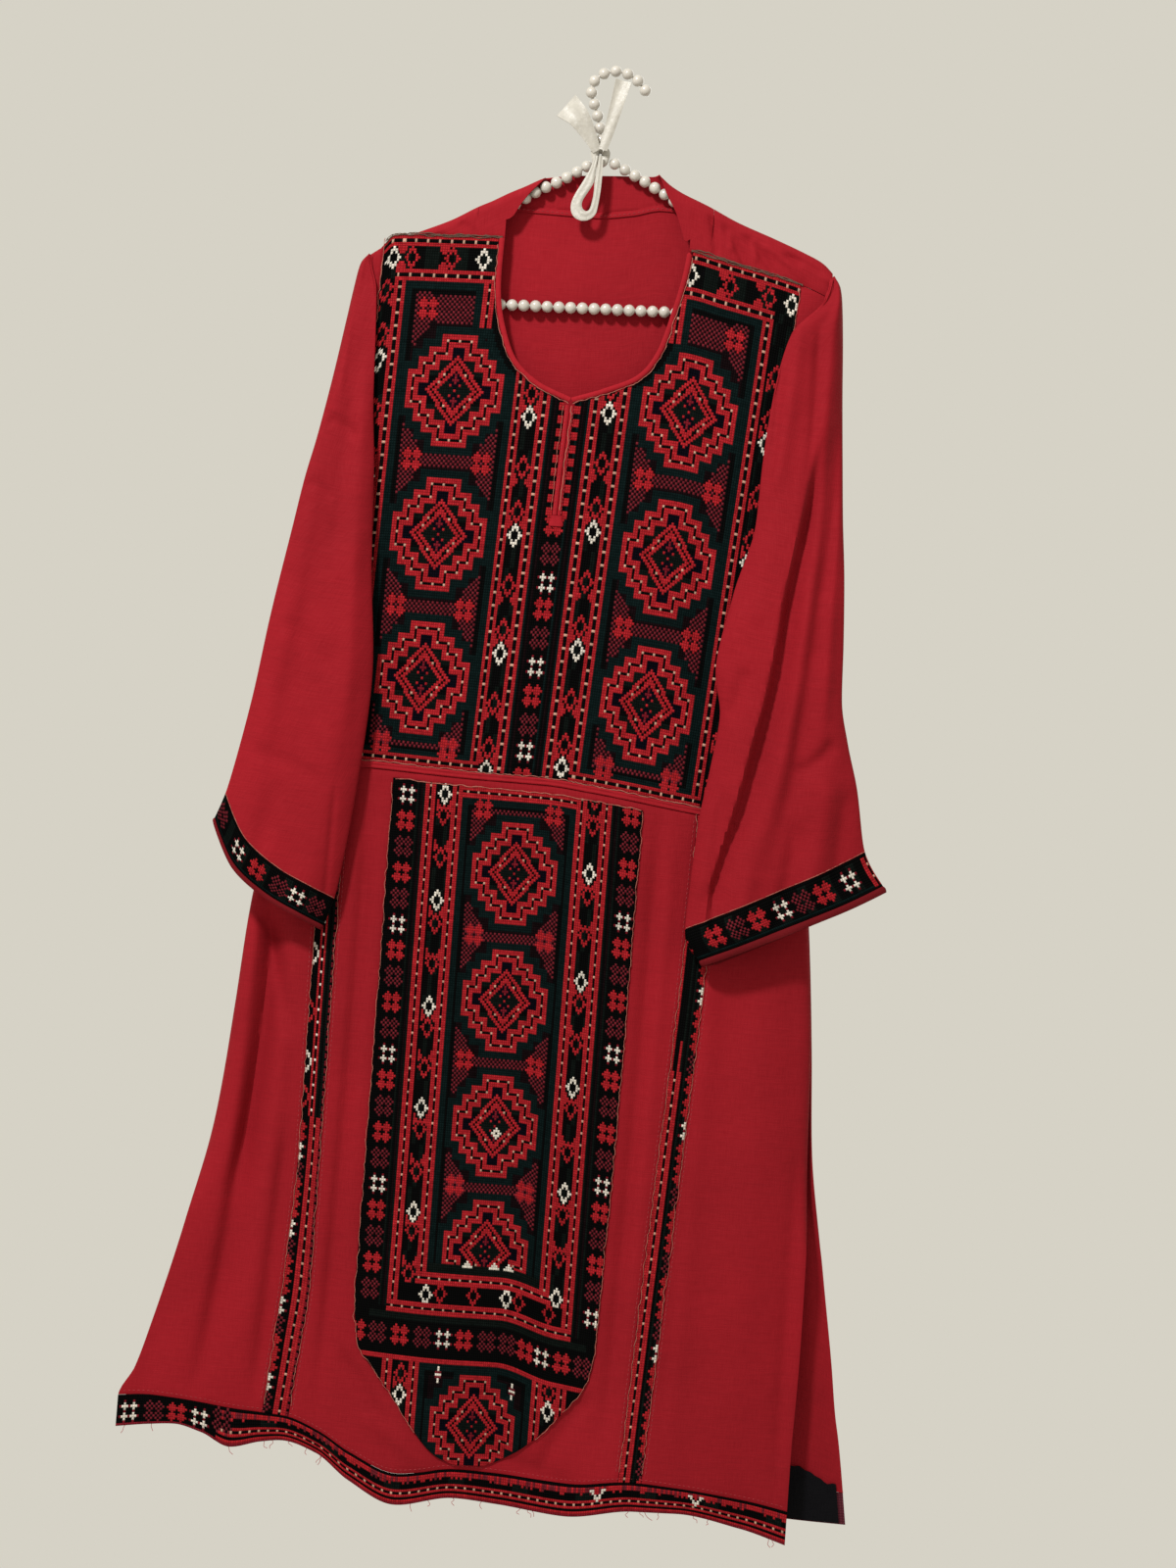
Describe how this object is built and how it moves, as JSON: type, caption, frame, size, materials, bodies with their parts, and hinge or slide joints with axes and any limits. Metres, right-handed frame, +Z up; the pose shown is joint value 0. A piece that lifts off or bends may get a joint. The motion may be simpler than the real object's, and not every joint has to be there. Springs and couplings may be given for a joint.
{
  "type": "embroidered kurta on a beaded hanger",
  "caption": "Long red kurta with embroidered yoke, pocket panel, strips, cuffs and hem, hanging flat on a beaded wire hanger with a satin ribbon.",
  "frame": {"origin": "underside of the hanger hook's wire, between two beads at the top of the crook, where it bears on the peg that holds it", "axes": "+Z up, +X to the right of someone facing the garment's front, so the front faces -Y and the back +Y"},
  "size_m": [0.6047, 0.0642, 1.1954],
  "materials": {
    "red_cloth": "soft plain-weave cotton",
    "embroidered_cloth": "close hand embroidery",
    "red_binding": "folded cotton binding",
    "black_facing": "plain black cotton",
    "pearl_beads": "pearl gloss",
    "satin_ribbon": "satin"
  },
  "bodies": {
    "root": {"back_panel": "red_cloth", "neck_band": "red_cloth", "front_shoulder_left": "red_cloth", "front_shoulder_right": "red_cloth", "front_side_left": "red_cloth", "front_side_right": "red_cloth", "skirt_side_left": "red_cloth", "skirt_centre": "red_cloth", "skirt_side_right": "red_cloth", "sleeve_left": "red_cloth", "sleeve_right": "red_cloth", "front_yoke": "embroidered_cloth", "pocket_panel": "embroidered_cloth", "strip_left": "embroidered_cloth", "strip_right": "embroidered_cloth", "hem_band_front": "embroidered_cloth", "hem_band_back": "embroidered_cloth", "cuff_left": "embroidered_cloth", "cuff_right": "embroidered_cloth", "neck_binding_left": "red_binding", "neck_binding_right": "red_binding", "slit_binding_left": "red_binding", "slit_binding_right": "red_binding", "slit_stay": "red_binding", "waist_piping": "red_binding", "cuff_piping_left": "red_binding", "cuff_piping_right": "red_binding", "hem_facing_back": "black_facing", "hanger_hook": "pearl_beads", "hanger_arm_left": "pearl_beads", "hanger_arm_right": "pearl_beads", "hanger_bar": "pearl_beads", "ribbon_knot": "satin_ribbon", "ribbon_tail_left": "satin_ribbon", "ribbon_tail_right": "satin_ribbon", "ribbon_loop": "satin_ribbon"}
  },
  "joints": []
}
